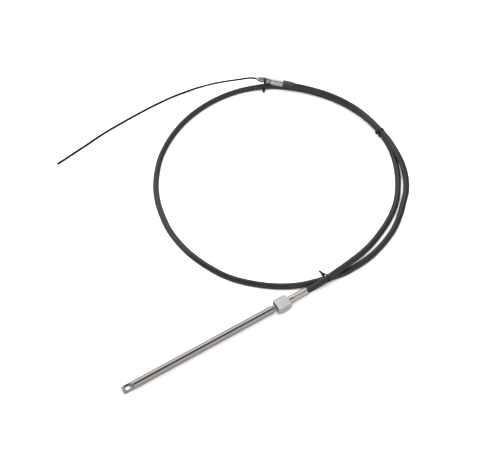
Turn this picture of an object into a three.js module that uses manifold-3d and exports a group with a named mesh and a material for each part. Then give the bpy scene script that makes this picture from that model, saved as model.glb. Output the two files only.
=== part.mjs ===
// Boat steering cable: a steel ram on a guide tube, its coupling nut, a long coiled conduit,
// and the helm end fitting with the bare inner core sticking out of it.
// Millimetres, +Z up, floor at z = 0. The ram lies along X and its tip points to -X.
import * as THREE from "three";
import { mergeVertices } from "three/addons/utils/BufferGeometryUtils.js";
import Module from "manifold-3d";

const wasm = await Module();
wasm.setup();

// gaps: between touching pieces, around a sliding or turning piece, around a gripped cable
const touchGap = 0.3;
const slideGap = 0.35;
const gripGap = 0.35;

// cable
const conduitDiameter = 12.5;
const conduitSides = 12;
const conduitSteps = 72;
const coreDiameter = 5;
const coreSides = 8;
const coreSteps = 24;

// axis shared by the ram, the guide tube, the nut and the output sleeve
const ramAxisY = -255.4;
const ramAxisZ = 14.74;

// ram, measured back from the nut
const ramToNut = 7;
const ramLength = 310.5;
const ramDiameter = 15.875;
const ramSolidEnd = 24;
const ramTipRound = 2.4;
const ramTipRoundSteps = 5;
const ramBackChamfer = 0.9;
const ramFlatThickness = 11;
const ramFlatLength = 21;
const ramEyeDiameter = 9.7;
const ramEyeFromTip = 10.5;

// guide tube
const guideDiameter = 12;
const guideBore = 6.4;
const guideToRamEnd = 5;

// coupling nut
const nutFrontX = -13.25;
const nutLength = 27;
const nutFlats = 26;
const nutTurn = 19.1;
const nutChamfer = 1.5;
const nutFaceDiameter = 25.2;
const nutRecessDiameter = 21.6;
const nutRecessDepth = 21;

// output sleeve
const flangeDiameter = 20.6;
const flangeThickness = 5;
const neckDiameter = 16.2;
const neckLength = 17;
const crimpSides = 8;
const crimpCorners = 15.9;
const crimpFlats = 14.9;
const crimpLength = 31;
const guideInSleeve = 12;
const conduitInSleeve = 17;
const sleeveEndRound = 1.2;

// helm end fitting, measured along its own axis from the tip
const helmTip = [263.29, 267.25, 22.4];
const helmTurn = -45;
const noseTipDiameter = 6.6;
const noseDiameter = 13.6;
const noseConeLength = 8.5;
const grooveStart = 16.5;
const grooveEnd = 23.5;
const grooveWallSlope = 1;
const grooveDiameter = 10.6;
const ferruleLength = 36;
const coreInFerrule = 9;
const helmSleeveLength = 28;
const helmCrimpCorners = 16.6;
const helmCrimpFlats = 15.6;
const conduitInHelmSleeve = 16;
const bootLength = 24;
const bootStartDiameter = 17;
const bootMiddleDiameter = 16.4;
const bootEndDiameter = 14.8;
const bootMiddle = 8;
const bootRimChamfer = 0.7;

// cable ties
const tieWidth = 4.8;
const tieThickness = 1.2;
const tieHeadAlong = 6;
const tieHeadOut = 5;
const tieHeadWidth = 7;
const tieHeadSink = 0.5;
const tieTailThickness = 1.3;
const tieOutlineSteps = 36;

const roundSides = 40;
const holeSides = 32;

// centreline of the conduit, from the output sleeve round the loop to the helm sleeve
const conduitRoute = [
  [38.75, -255.4, 14.74],
  [56.75, -255.4, 14.74],
  [72.75, -255.4, 14.9],
  [86.75, -255.8, 17.6],
  [100.75, -255.8, 21.2],
  [113.75, -254.8, 22.6],
  [126.75, -252.9, 22],
  [143.75, -250.3, 19.4],
  [162.75, -246.6, 16.2],
  [184.75, -241.6, 11.2],
  [208.75, -235.6, 7.6],
  [232.75, -228.6, 6.5],
  [259.75, -218.1, 6.5],
  [287.75, -205.1, 6.5],
  [316.75, -187.6, 6.5],
  [342.75, -166.6, 6.5],
  [372.75, -131.6, 6.5],
  [393.75, -98.6, 6.5],
  [410.75, -60.6, 7],
  [420.75, -14.6, 8.2],
  [421.75, 30.4, 8],
  [414.75, 74.4, 7],
  [398.75, 118.4, 6.5],
  [375.75, 157.4, 6.5],
  [345.75, 195.4, 6.5],
  [315.75, 222.4, 6.8],
  [294.75, 236.9, 7.9],
  [272.75, 248.4, 8.9],
  [252.75, 256.4, 8.3],
  [234.75, 262.9, 7],
  [211.75, 268.4, 6.5],
  [175.75, 271.4, 6.5],
  [138.75, 269.4, 6.5],
  [101.75, 262.4, 6.5],
  [65.75, 250.4, 6.5],
  [29.75, 232.4, 6.5],
  [-2.25, 210.4, 6.5],
  [-32.15, 183.4, 6.5],
  [-56.65, 152.4, 6.5],
  [-77.25, 117.4, 6.5],
  [-91.25, 81.4, 6.5],
  [-99.25, 44.4, 6.5],
  [-103.25, 7.4, 6.5],
  [-101.25, -26.6, 6.5],
  [-95.25, -59.6, 6.5],
  [-85.25, -90.6, 6.5],
  [-72.33, -119.6, 6.5],
  [-57.63, -145.6, 6.5],
  [-39.01, -168.6, 6.5],
  [-18.25, -188.6, 6.5],
  [3.75, -206.6, 6.5],
  [28.75, -222.6, 6.5],
  [54.75, -235, 6.6],
  [80.75, -243.8, 8.1],
  [103.75, -250, 8.9],
  [124.75, -254.3, 8.1],
  [146.75, -256.6, 6.5],
  [166.75, -256.6, 6.5],
  [188.75, -255.6, 6.5],
  [210.75, -252.6, 6.5],
  [234.75, -246.6, 6.5],
  [263.75, -236.6, 6.5],
  [293.75, -222.6, 6.5],
  [324.75, -201.6, 6.5],
  [349.75, -180.6, 6.6],
  [371.75, -160.6, 7],
  [388.75, -137.6, 9.8],
  [400.75, -110.6, 15],
  [407.75, -84.6, 18.9],
  [412.75, -58.6, 20.2],
  [415.75, -34.6, 21.2],
  [416.25, -6.6, 21.6],
  [415.75, 22.4, 21.3],
  [412.75, 55.4, 20.5],
  [404.75, 88.4, 20],
  [392.75, 118.4, 19.8],
  [377.75, 145.4, 19.8],
  [360.75, 168.4, 20.1],
  [342.55, 187.9, 21.6],
  [325.55, 204.9, 22.4],
  [310.75, 219.7, 22.4],
  [297.55, 232.9, 22.4],
];

// centreline of the bare core, from inside the helm fitting to its cut end
const coreRoute = [
  [269.55, 261, 22.4],
  [256.95, 273.5, 22.4],
  [245.75, 280.4, 21.6],
  [228.75, 288.9, 18.8],
  [209.75, 298.9, 15.8],
  [190.75, 308.4, 12.8],
  [170.75, 316.9, 9.6],
  [150.75, 323.4, 7],
  [130.75, 328.4, 5],
  [109.75, 331.4, 3.6],
  [86.75, 333.4, 2.9],
  [56.75, 333.4, 2.6],
  [12.75, 330.4, 2.6],
  [-30.25, 325.4, 2.6],
  [-72.25, 319.4, 2.6],
  [-113.25, 312.4, 2.6],
  [-154.25, 302.4, 2.6],
  [-193.25, 293.4, 2.6],
  [-232.25, 284.4, 2.6],
];

const ramBackX = nutFrontX - ramToNut;
const ramTipX = ramBackX - ramLength;

function toManifold(geometry) {
  const bare = geometry.clone();
  bare.deleteAttribute("normal");
  bare.deleteAttribute("uv");
  const welded = mergeVertices(bare, 1e-4);
  const mesh = new wasm.Mesh({
    numProp: 3,
    vertProperties: new Float32Array(welded.attributes.position.array),
    triVerts: new Uint32Array(welded.index.array),
  });
  return new wasm.Manifold(mesh);
}

function toGeometry(solid) {
  const mesh = solid.getMesh();
  const geometry = new THREE.BufferGeometry();
  const positions = new Float32Array(mesh.vertProperties);
  geometry.setAttribute("position", new THREE.BufferAttribute(positions, 3));
  geometry.setIndex(new THREE.BufferAttribute(new Uint32Array(mesh.triVerts), 1));
  geometry.computeVertexNormals();
  return geometry;
}

// a solid turned about X, from corners given as [distance along X, radius]
function turned(profile) {
  const points = profile.map(([along, radius]) => new THREE.Vector2(radius, along));
  const geometry = new THREE.LatheGeometry(points, roundSides);
  geometry.rotateZ(-Math.PI / 2);
  return toManifold(geometry);
}

// a plain turned tube
function turnedRing(startX, endX, bore, outer) {
  return turned([[startX, bore], [startX, outer], [endX, outer], [endX, bore], [startX, bore]]);
}

// a plain turned rod, or the hole that it cuts
function turnedRod(startX, endX, radius) {
  return turned([[startX, 0], [startX, radius], [endX, radius], [endX, 0]]);
}

// a straight bar along X with a number of equal flats
function flatSided(startX, endX, acrossFlats, sides, turnDegrees) {
  const radius = acrossFlats / 2 / Math.cos(Math.PI / sides);
  const corners = [];
  for (let i = 0; i < sides; i += 1) {
    const angle = THREE.MathUtils.degToRad(turnDegrees) + (2 * Math.PI * i) / sides;
    corners.push(new THREE.Vector2(radius * Math.cos(angle), radius * Math.sin(angle)));
  }
  const shape = new THREE.Shape(corners);
  const geometry = new THREE.ExtrudeGeometry(shape, {
    depth: endX - startX,
    bevelEnabled: false,
  });
  geometry.rotateX(Math.PI / 2);
  geometry.rotateZ(Math.PI / 2);
  geometry.translate(startX, 0, 0);
  return toManifold(geometry);
}

function block(size, centre) {
  const geometry = new THREE.BoxGeometry(size[0], size[1], size[2]);
  geometry.translate(centre[0], centre[1], centre[2]);
  return toManifold(geometry);
}

function onRamAxis(solid) {
  return toGeometry(solid.translate([0, ramAxisY, ramAxisZ]));
}

function onHelmAxis(solid) {
  return toGeometry(solid.rotate([0, 0, helmTurn]).translate(helmTip));
}

function outputRam() {
  const radius = ramDiameter / 2;
  const bore = guideDiameter / 2 + slideGap;
  const solidX = ramTipX + ramSolidEnd;
  const profile = [[ramTipX, 0]];
  for (let i = 0; i <= ramTipRoundSteps; i += 1) {
    const angle = (Math.PI / 2) * (i / ramTipRoundSteps);
    const along = ramTipX + ramTipRound * (1 - Math.cos(angle));
    profile.push([along, radius - ramTipRound * (1 - Math.sin(angle))]);
  }
  profile.push([ramBackX - ramBackChamfer, radius]);
  profile.push([ramBackX, radius - ramBackChamfer]);
  profile.push([ramBackX, bore]);
  profile.push([solidX, bore]);
  profile.push([solidX, 0]);
  let ram = turned(profile);
  for (const side of [-1, 1]) {
    const z = side * (ramFlatThickness / 2 + radius / 2);
    const size = [2 * ramFlatLength, 2 * ramDiameter, radius];
    ram = ram.subtract(block(size, [ramTipX, 0, z]));
  }
  const eyeRadius = ramEyeDiameter / 2;
  const eye = new THREE.CylinderGeometry(eyeRadius, eyeRadius, 2 * ramDiameter, holeSides);
  eye.rotateX(Math.PI / 2);
  eye.translate(ramTipX + ramEyeFromTip, 0, 0);
  return onRamAxis(ram.subtract(toManifold(eye)));
}

// the flange sits in the nut's recess, against its rear wall
const flangeBackX = nutFrontX + nutRecessDepth - touchGap;
const sleeveFrontX = flangeBackX - flangeThickness;
const crimpStartX = flangeBackX + neckLength;
const sleeveEndX = crimpStartX + crimpLength;
const guideBackX = sleeveFrontX + guideInSleeve;

function guideTube() {
  const frontX = ramTipX + ramSolidEnd + guideToRamEnd;
  return onRamAxis(turnedRing(frontX, guideBackX - touchGap, guideBore / 2, guideDiameter / 2));
}

function couplingNut() {
  const backX = nutFrontX + nutLength;
  const cornerRadius = nutFlats / Math.sqrt(3) + touchGap;
  const faceRadius = nutFaceDiameter / 2;
  const ends = turned([
    [nutFrontX, 0],
    [nutFrontX, faceRadius],
    [nutFrontX + nutChamfer, cornerRadius],
    [backX - nutChamfer, cornerRadius],
    [backX, faceRadius],
    [backX, 0],
  ]);
  const recessX = nutFrontX + nutRecessDepth;
  const recess = turnedRod(nutFrontX - 1, recessX, nutRecessDiameter / 2);
  const neckHole = turnedRod(recessX - 1, backX + 1, neckDiameter / 2 + slideGap);
  const hex = flatSided(nutFrontX, backX, nutFlats, 6, nutTurn);
  return onRamAxis(hex.intersect(ends).subtract(recess).subtract(neckHole));
}

// a crimped sleeve: eight flats with the corners rounded off and a rounded far end
function crimpedBody(startX, endX, acrossFlats, acrossCorners) {
  const radius = acrossCorners / 2;
  const rounded = turned([
    [startX, 0],
    [startX, radius],
    [endX - sleeveEndRound, radius],
    [endX, radius - sleeveEndRound],
    [endX, 0],
  ]);
  return flatSided(startX, endX, acrossFlats, crimpSides, 360 / crimpSides / 2).intersect(rounded);
}

function outputSleeve() {
  const flange = turnedRod(sleeveFrontX, flangeBackX, flangeDiameter / 2);
  const neck = turnedRod(sleeveFrontX, crimpStartX + 1, neckDiameter / 2);
  const crimp = crimpedBody(crimpStartX, sleeveEndX, crimpFlats, crimpCorners);
  const guideHole = turnedRod(sleeveFrontX - 1, guideBackX, guideDiameter / 2 + gripGap);
  const coreHole = turnedRod(sleeveFrontX, sleeveEndX, guideBore / 2);
  const conduitHoleX = sleeveEndX - conduitInSleeve;
  const conduitHole = turnedRod(conduitHoleX, sleeveEndX + 1, conduitDiameter / 2 + gripGap);
  const solid = flange.add(neck).add(crimp);
  return onRamAxis(solid.subtract(guideHole).subtract(coreHole).subtract(conduitHole));
}

function helmFerrule() {
  const body = turned([
    [0, 0],
    [0, noseTipDiameter / 2],
    [noseConeLength, noseDiameter / 2],
    [grooveStart - grooveWallSlope, noseDiameter / 2],
    [grooveStart, grooveDiameter / 2],
    [grooveEnd, grooveDiameter / 2],
    [grooveEnd + grooveWallSlope, noseDiameter / 2],
    [ferruleLength, noseDiameter / 2],
    [ferruleLength, 0],
  ]);
  const coreHole = turnedRod(-1, coreInFerrule, coreDiameter / 2 + gripGap);
  return onHelmAxis(body.subtract(coreHole));
}

function helmSleeve() {
  const startX = ferruleLength + touchGap;
  const endX = ferruleLength + helmSleeveLength;
  const body = crimpedBody(startX, endX, helmCrimpFlats, helmCrimpCorners);
  const holeX = endX - conduitInHelmSleeve;
  const conduitHole = turnedRod(holeX, endX + 1, conduitDiameter / 2 + gripGap);
  return onHelmAxis(body.subtract(conduitHole));
}

function helmBoot() {
  const startX = ferruleLength + helmSleeveLength + touchGap;
  const endX = ferruleLength + helmSleeveLength + bootLength;
  const bore = conduitDiameter / 2 + gripGap;
  return onHelmAxis(turned([
    [startX, bore],
    [startX, bootStartDiameter / 2 - bootRimChamfer],
    [startX + bootRimChamfer, bootStartDiameter / 2],
    [startX + bootMiddle, bootMiddleDiameter / 2],
    [endX, bootEndDiameter / 2],
    [endX, bore],
    [startX, bore],
  ]));
}

// a plain tube of the cable along its route
function cableTube(route, diameter, sides, steps) {
  const points = route.map(([x, y, z]) => new THREE.Vector3(x, y, z));
  const path = new THREE.CatmullRomCurve3(points, false, "centripetal");
  const corners = [];
  for (let i = 0; i < sides; i += 1) {
    const angle = (2 * Math.PI * i) / sides;
    const x = (diameter / 2) * Math.cos(angle);
    corners.push(new THREE.Vector2(x, (diameter / 2) * Math.sin(angle)));
  }
  const section = new THREE.Shape(corners);
  return new THREE.ExtrudeGeometry(section, { steps, extrudePath: path, bevelEnabled: false });
}

// the outline that a band takes round two circles, as [across, up] points
function bandOutline(circles, grow) {
  const outline = [];
  for (let i = 0; i < tieOutlineSteps; i += 1) {
    const angle = (2 * Math.PI * i) / tieOutlineSteps;
    const across = Math.cos(angle);
    const up = Math.sin(angle);
    const reach = circles.map((c) => c.across * across + c.up * up + c.radius + c.gap);
    const circle = circles[reach[0] > reach[1] ? 0 : 1];
    const radius = circle.radius + circle.gap + grow;
    outline.push(new THREE.Vector2(circle.across + radius * across, circle.up + radius * up));
  }
  return outline;
}

// a tie round two strands: a closed band, its square head and the cut tail
function cableTie(tie) {
  const inner = bandOutline(tie.circles, 0);
  const outer = bandOutline(tie.circles, tieThickness);
  const shape = new THREE.Shape(outer);
  shape.holes.push(new THREE.Path(inner));
  const band = new THREE.ExtrudeGeometry(shape, { depth: tieWidth, bevelEnabled: false });
  band.translate(0, 0, -tieWidth / 2);
  const angle = THREE.MathUtils.degToRad(tie.headAngle);
  const circle = tie.circles[tie.headOn];
  const seat = circle.radius + circle.gap + tieThickness - tieHeadSink;
  const head = new THREE.BoxGeometry(tieHeadOut, tieHeadAlong, tieHeadWidth);
  head.translate(seat + tieHeadOut / 2, 0, 0);
  head.rotateZ(angle);
  head.translate(circle.across, circle.up, 0);
  const tail = new THREE.BoxGeometry(tie.tailLength, tieTailThickness, tieWidth);
  tail.translate(tie.tailLength / 2, 0, 0);
  tail.rotateZ(THREE.MathUtils.degToRad(tie.tailTurn));
  tail.translate(seat + tieHeadOut / 2, 0, 0);
  tail.rotateZ(angle);
  tail.translate(circle.across, circle.up, 0);
  const solid = toManifold(band).add(toManifold(head)).add(toManifold(tail));
  const geometry = toGeometry(solid);
  geometry.rotateX(Math.PI / 2);
  geometry.rotateZ(THREE.MathUtils.degToRad(tie.turn));
  geometry.translate(tie.at[0], tie.at[1], 0);
  return geometry;
}

const conduitRadius = conduitDiameter / 2;

// each tie stands across the cable at one place: its turn is the direction of "across"
const ties = {
  tie_output: {
    at: [103.75, -254.2],
    turn: 86,
    headOn: 1,
    headAngle: 20,
    tailTurn: -49,
    tailLength: 16,
    circles: [
      { across: -1.31, up: 21.49, radius: conduitRadius, gap: 0.9 },
      { across: 4.45, up: 8.53, radius: conduitRadius, gap: 0.7 },
    ],
  },
  tie_side: {
    at: [418.75, -9.6],
    turn: 176,
    headOn: 0,
    headAngle: 0,
    tailTurn: -60,
    tailLength: 4,
    circles: [
      { across: 2.64, up: 21.49, radius: conduitRadius, gap: 0.5 },
      { across: -2.24, up: 8.17, radius: conduitRadius, gap: 0.6 },
    ],
  },
  tie_helm: {
    at: [277.5, 252.98],
    turn: 231,
    headOn: 1,
    headAngle: -6,
    tailTurn: 4,
    tailLength: 7.5,
    circles: [
      { across: 0, up: 22.4, radius: grooveDiameter / 2, gap: 0.5 },
      { across: 6.66, up: 8.63, radius: conduitRadius, gap: 1.1 },
    ],
  },
};

const materials = {
  polished: new THREE.MeshStandardMaterial({ color: 0xc9cbcd, metalness: 1, roughness: 0.15 }),
  satin: new THREE.MeshStandardMaterial({ color: 0xb5b8ba, metalness: 1, roughness: 0.4 }),
  wire: new THREE.MeshStandardMaterial({ color: 0x4b4d50, metalness: 1, roughness: 0.5 }),
  black: new THREE.MeshStandardMaterial({ color: 0x16181b, metalness: 0, roughness: 0.4 }),
};

function named(name, geometry, material) {
  const mesh = new THREE.Mesh(geometry, material.clone());
  mesh.name = name;
  return mesh;
}

function buildPart() {
  const group = new THREE.Group();
  group.name = "boat_steering_cable";
  group.add(named("output_ram", outputRam(), materials.polished));
  group.add(named("guide_tube", guideTube(), materials.satin));
  group.add(named("coupling_nut", couplingNut(), materials.satin));
  group.add(named("output_sleeve", outputSleeve(), materials.polished));
  const conduit = cableTube(conduitRoute, conduitDiameter, conduitSides, conduitSteps);
  group.add(named("conduit", conduit, materials.black));
  group.add(named("helm_boot", helmBoot(), materials.black));
  group.add(named("helm_sleeve", helmSleeve(), materials.polished));
  group.add(named("helm_ferrule", helmFerrule(), materials.polished));
  const core = cableTube(coreRoute, coreDiameter, coreSides, coreSteps);
  group.add(named("inner_core", core, materials.wire));
  for (const [name, tie] of Object.entries(ties)) {
    group.add(named(name, cableTie(tie), materials.black));
  }
  return group;
}

export default buildPart();
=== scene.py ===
import bpy
import bmesh
import math
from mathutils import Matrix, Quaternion, Vector


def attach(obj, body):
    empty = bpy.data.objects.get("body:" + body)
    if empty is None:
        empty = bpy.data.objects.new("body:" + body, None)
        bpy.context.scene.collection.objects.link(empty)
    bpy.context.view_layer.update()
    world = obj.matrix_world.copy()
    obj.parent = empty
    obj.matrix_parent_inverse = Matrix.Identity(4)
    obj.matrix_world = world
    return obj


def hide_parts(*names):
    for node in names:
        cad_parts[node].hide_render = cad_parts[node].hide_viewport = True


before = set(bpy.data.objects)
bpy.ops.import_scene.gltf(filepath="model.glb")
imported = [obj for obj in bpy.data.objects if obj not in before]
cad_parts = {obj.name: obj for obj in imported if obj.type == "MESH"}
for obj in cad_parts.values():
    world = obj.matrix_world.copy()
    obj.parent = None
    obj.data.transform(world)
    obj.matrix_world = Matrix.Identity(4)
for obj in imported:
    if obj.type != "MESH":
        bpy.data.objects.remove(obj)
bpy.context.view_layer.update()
scene = bpy.context.scene
print("frame loaded")

mm = 0.001
boxFaces = [(0, 1, 3, 2), (4, 6, 7, 5), (0, 4, 5, 1), (2, 3, 7, 6), (0, 2, 6, 4), (1, 5, 7, 3)]


# small helpers, used by every piece

def addObject(name, data):
    obj = bpy.data.objects.new(name, data)
    scene.collection.objects.link(obj)
    return obj


def removeObject(obj):
    data = obj.data
    bpy.data.objects.remove(obj)
    if data and data.users == 0:
        bpy.data.meshes.remove(data)


def meshObject(name, verts, faces, sharpAngle=None):
    mesh = bpy.data.meshes.new(name)
    mesh.from_pydata([tuple(v) for v in verts], [], faces)
    finishMesh(mesh, sharpAngle)
    return addObject(name, mesh)


def finishMesh(mesh, sharpAngle):
    bm = bmesh.new()
    bm.from_mesh(mesh)
    bmesh.ops.recalc_face_normals(bm, faces=bm.faces)
    bm.to_mesh(mesh)
    bm.free()
    mesh.polygons.foreach_set("use_smooth", [True] * len(mesh.polygons))
    if sharpAngle:
        mesh.set_sharp_from_angle(angle=math.radians(sharpAngle))


def bakeModifiers(obj, sharpAngle=None):  # the evaluated shape becomes the plain mesh
    graph = bpy.context.evaluated_depsgraph_get()
    mesh = bpy.data.meshes.new_from_object(obj.evaluated_get(graph), depsgraph=graph)
    obj.modifiers.clear()
    obj.data = mesh
    finishMesh(mesh, sharpAngle)


def cutAway(obj, cutter):
    mod = obj.modifiers.new("cut", "BOOLEAN")
    mod.operation = "DIFFERENCE"
    mod.solver = "EXACT"
    mod.object = cutter
    bakeModifiers(obj)
    removeObject(cutter)


def softenEdges(obj, width, segments=3, limit=35, sharpAngle=60):
    mod = obj.modifiers.new("bevel", "BEVEL")
    mod.width = width
    mod.segments = segments
    mod.limit_method = "ANGLE"
    mod.angle_limit = math.radians(limit)
    mod.use_clamp_overlap = True
    bakeModifiers(obj, sharpAngle)


def placeOn(axis, x, y, z):  # a point in the axis's own directions, put in the scene
    return axis["origin"] + axis["along"] * x + axis["side"] * y + Vector((0, 0, 1)) * z


def ringSolid(name, rings, axis, angles, hollow, sharpAngle=38):
    # rings are (distance along, radius or a function of the angle); hollow ones close on themselves
    verts, faces = [], []
    count = len(angles)
    for x, radius in rings:
        for a in angles:
            r = radius(a) if callable(radius) else radius
            verts.append(placeOn(axis, x * mm, r * mm * math.cos(a), r * mm * math.sin(a)))
    for i in range(len(rings) if hollow else len(rings) - 1):
        k = (i + 1) % len(rings)
        for j in range(count):
            n = (j + 1) % count
            faces.append((i * count + j, i * count + n, k * count + n, k * count + j))
    if not hollow:
        faces.append(tuple(range(count)))
        faces.append(tuple((len(rings) - 1) * count + j for j in range(count)))
    return meshObject(name, verts, faces, sharpAngle)


def evenAngles(count):
    return [2 * math.pi * i / count for i in range(count)]


def cornerAngles(sides, turn, near, step, between):  # closer together at the corners of a polygon
    angles = []
    for k in range(sides):
        corner = turn + 360 / sides * k
        n = round(near / step)
        angles += [corner + step * i for i in range(-n, n + 1)]
        gap = 360 / sides - 2 * near
        angles += [corner + near + gap * i / between for i in range(1, between)]
    return [math.radians(a) for a in angles]


def softMin(a, b, sharpness):  # the smaller of two radii, rounded where they meet
    return (a ** -sharpness + b ** -sharpness) ** (-1 / sharpness)


def polygonRadius(flats, sides, turn, hardness, limit=None):
    # radius of a polygon with rounded corners, in the direction of an angle
    def radius(a):
        total = 0.0
        for k in range(sides):
            c = math.cos(a - math.radians(turn + 180 / sides + 360 / sides * k))
            if c > 0:
                total += c ** hardness
        flat = flats / 2 / total ** (1 / hardness)
        return softMin(flat, limit, 24) if limit else flat
    return radius


def roundedEdge(fromPoint, corner, toPoint, size, steps=4):  # a rounded corner of a turned outline
    c = Vector(corner)
    a = c + (Vector(fromPoint) - c).normalized() * size
    b = c + (Vector(toPoint) - c).normalized() * size
    out = []
    for i in range(steps + 1):
        t = i / steps
        p = a * (1 - t) ** 2 + c * (2 * t * (1 - t)) + b * t ** 2
        out.append((p.x, p.y))
    return out


def roundedOutline(points, sizes):  # sizes name how much each corner is rounded
    out = []
    for i, point in enumerate(points):
        out += roundedEdge(points[i - 1], point, points[(i + 1) % len(points)], sizes[i])
    return out


# camera, at the photo's angle

camera = {
    "lookAt": (0.02545, -0.0680, 0.0),
    "from": (-0.36685, -0.7219, 1.1741),
    "roll": 0.0036,
    "lens": 50.99,
    "sensor": 36,
}
camData = bpy.data.cameras.new("camera")
camData.lens = camera["lens"]
camData.sensor_width = camera["sensor"]
camData.dof.use_dof = False
camObj = addObject("camera", camData)
camObj.location = camera["from"]
aim = (Vector(camera["lookAt"]) - camObj.location).to_track_quat("-Z", "Y")
camObj.rotation_euler = (aim @ Quaternion((0, 0, 1), camera["roll"])).to_euler()
scene.camera = camObj
scene.view_settings.view_transform = "Standard"


# floor

floor = {
    "half": 1.3, "color": (0.93, 0.93, 0.93, 1), "roughness": 0.9,
    # mirrored: colour of a glowing sheet that only reflections see, a painted reflection of the table
    "mirroredHalf": 4.5, "reflectionGlow": (0.40, 0.37, 0.355, 1),
}


def floorSheet(name, half, z):
    corners = [(-half, -half, z), (half, -half, z), (half, half, z), (-half, half, z)]
    sheet = meshObject(name, corners, [(0, 1, 2, 3)])
    return sheet


floorObj = floorSheet("floor", floor["half"], 0)
floorObj.visible_glossy = False
floorObj.visible_diffuse = False
# what the pieces mirror below the horizon: a glowing sheet hidden from the camera, a painted reflection
# of a darker table
reflectionGlowSheet = floorSheet("painted_table_reflection", floor["mirroredHalf"], -0.0005)
reflectionGlowSheet.visible_camera = False
reflectionGlowSheet.visible_shadow = False


# light: a pale tent with a dark slot overhead, which draws the dark line along the bright steel

tent = {
    "strength": 1.0,
    "bands": [  # angle from overhead in degrees, towards the camera's side when positive
        (-180, (0.45, 0.45, 0.45)), (-90, (0.45, 0.45, 0.45)), (-77, (0.50, 0.50, 0.50)),
        (-68, (0.80, 0.80, 0.81)), (-30, (0.78, 0.78, 0.79)), (-23, (0.74, 0.74, 0.75)),
        (-16, (0.08, 0.08, 0.08)), (30, (0.09, 0.09, 0.09)), (37, (0.66, 0.64, 0.63)),
        (55, (0.62, 0.59, 0.58)), (72, (0.48, 0.45, 0.44)), (180, (0.42, 0.39, 0.375)),
    ],
}


def buildTent():
    world = bpy.data.worlds.new("tent")
    scene.world = world
    world.use_nodes = True
    nodes, links = world.node_tree.nodes, world.node_tree.links
    background = nodes["Background"]
    coords = nodes.new("ShaderNodeTexCoord")
    split = nodes.new("ShaderNodeSeparateXYZ")
    links.new(coords.outputs["Generated"], split.inputs["Vector"])
    minusY = nodes.new("ShaderNodeMath")
    minusY.operation = "MULTIPLY"
    minusY.inputs[1].default_value = -1
    links.new(split.outputs["Y"], minusY.inputs[0])
    angle = nodes.new("ShaderNodeMath")
    angle.operation = "ARCTAN2"
    links.new(minusY.outputs[0], angle.inputs[0])
    links.new(split.outputs["Z"], angle.inputs[1])
    spread = nodes.new("ShaderNodeMapRange")
    spread.inputs["From Min"].default_value = -math.pi
    spread.inputs["From Max"].default_value = math.pi
    links.new(angle.outputs[0], spread.inputs["Value"])
    bands = nodes.new("ShaderNodeValToRGB")
    links.new(spread.outputs["Result"], bands.inputs["Fac"])

    stops = [((degrees + 180) / 360, color) for degrees, color in tent["bands"]]
    elements = bands.color_ramp.elements
    for i, (position, color) in enumerate(stops):
        if i == 0:
            element = elements[0]
        elif i == len(stops) - 1:
            element = elements[len(elements) - 1]
        else:
            element = elements.new(position)
        element.position = position
        element.color = (*color, 1)
    links.new(bands.outputs["Color"], background.inputs["Color"])
    background.inputs["Strength"].default_value = tent["strength"]
    behind = nodes.new("ShaderNodeBackground")  # plain white past the floor's edge
    behind.inputs["Color"].default_value = (1, 1, 1, 1)
    rays = nodes.new("ShaderNodeLightPath")
    choose = nodes.new("ShaderNodeMixShader")
    links.new(rays.outputs["Is Camera Ray"], choose.inputs[0])
    links.new(background.outputs[0], choose.inputs[1])
    links.new(behind.outputs[0], choose.inputs[2])
    links.new(choose.outputs[0], nodes["World Output"].inputs["Surface"])


buildTent()

lamps = {
    "overhead": {"at": (0.2, 0.4, 1.9), "aim": (0.05, 0.0, 0.0), "size": 3.2, "power": 130},
    "left": {"at": (-1.9, 0.2, 1.3), "aim": (0.0, 0.0, 0.0), "size": 2.4, "power": 50},
    "front": {"at": (0.0, -1.9, 1.5), "aim": (0.0, 0.0, 0.0), "size": 2.4, "power": 14},
}
for name, lamp in lamps.items():
    light = bpy.data.lights.new(name, "AREA")
    light.size = lamp["size"]
    light.energy = lamp["power"]
    lampObj = addObject(name, light)
    lampObj.visible_glossy = False
    lampObj.location = lamp["at"]
    lampObj.rotation_euler = (Vector(lamp["aim"]) - lampObj.location).to_track_quat("-Z", "Y").to_euler()


# materials

def newMaterial(name):
    mat = bpy.data.materials.new(name)
    mat.use_nodes = True
    shader = next(n for n in mat.node_tree.nodes if n.type == "BSDF_PRINCIPLED")
    return mat, mat.node_tree.nodes, mat.node_tree.links, shader


def noiseFrom(nodes, links, source, scale, stretch=(1, 1, 1), detail=4.0, turn=0.0, shift=(0, 0, 0)):
    # stretch makes the pattern longer along the piece's own directions
    coords = nodes.new("ShaderNodeTexCoord")
    mapping = nodes.new("ShaderNodeMapping")
    mapping.vector_type = "TEXTURE"
    mapping.inputs["Location"].default_value = shift
    mapping.inputs["Scale"].default_value = stretch
    mapping.inputs["Rotation"].default_value = (0, 0, turn)
    noise = nodes.new("ShaderNodeTexNoise")
    noise.inputs["Scale"].default_value = scale
    noise.inputs["Detail"].default_value = detail
    links.new(coords.outputs[source], mapping.inputs["Vector"])
    links.new(mapping.outputs["Vector"], noise.inputs["Vector"])
    return noise.outputs["Fac"]


def shades(nodes, links, source, low, high):  # both are (position, color)
    node = nodes.new("ShaderNodeValToRGB")
    for element, stop in zip(node.color_ramp.elements, (low, high)):
        element.position, element.color = stop
    links.new(source, node.inputs["Fac"])
    return node.outputs["Color"]


def spreadTo(nodes, links, source, low, high, fromLow=0.3, fromHigh=0.7):
    node = nodes.new("ShaderNodeMapRange")
    node.inputs["From Min"].default_value = fromLow
    node.inputs["From Max"].default_value = fromHigh
    node.inputs["To Min"].default_value = low
    node.inputs["To Max"].default_value = high
    links.new(source, node.inputs["Value"])
    return node.outputs["Result"]


def bumped(nodes, links, shader, source, strength, distance):
    bump = nodes.new("ShaderNodeBump")
    bump.inputs["Strength"].default_value = strength
    bump.inputs["Distance"].default_value = distance
    links.new(source, bump.inputs["Height"])
    links.new(bump.outputs["Normal"], shader.inputs["Normal"])


def tone(value, warm=0.0):
    return (value * (1 + warm), value, value * (1 - warm), 1)


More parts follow.
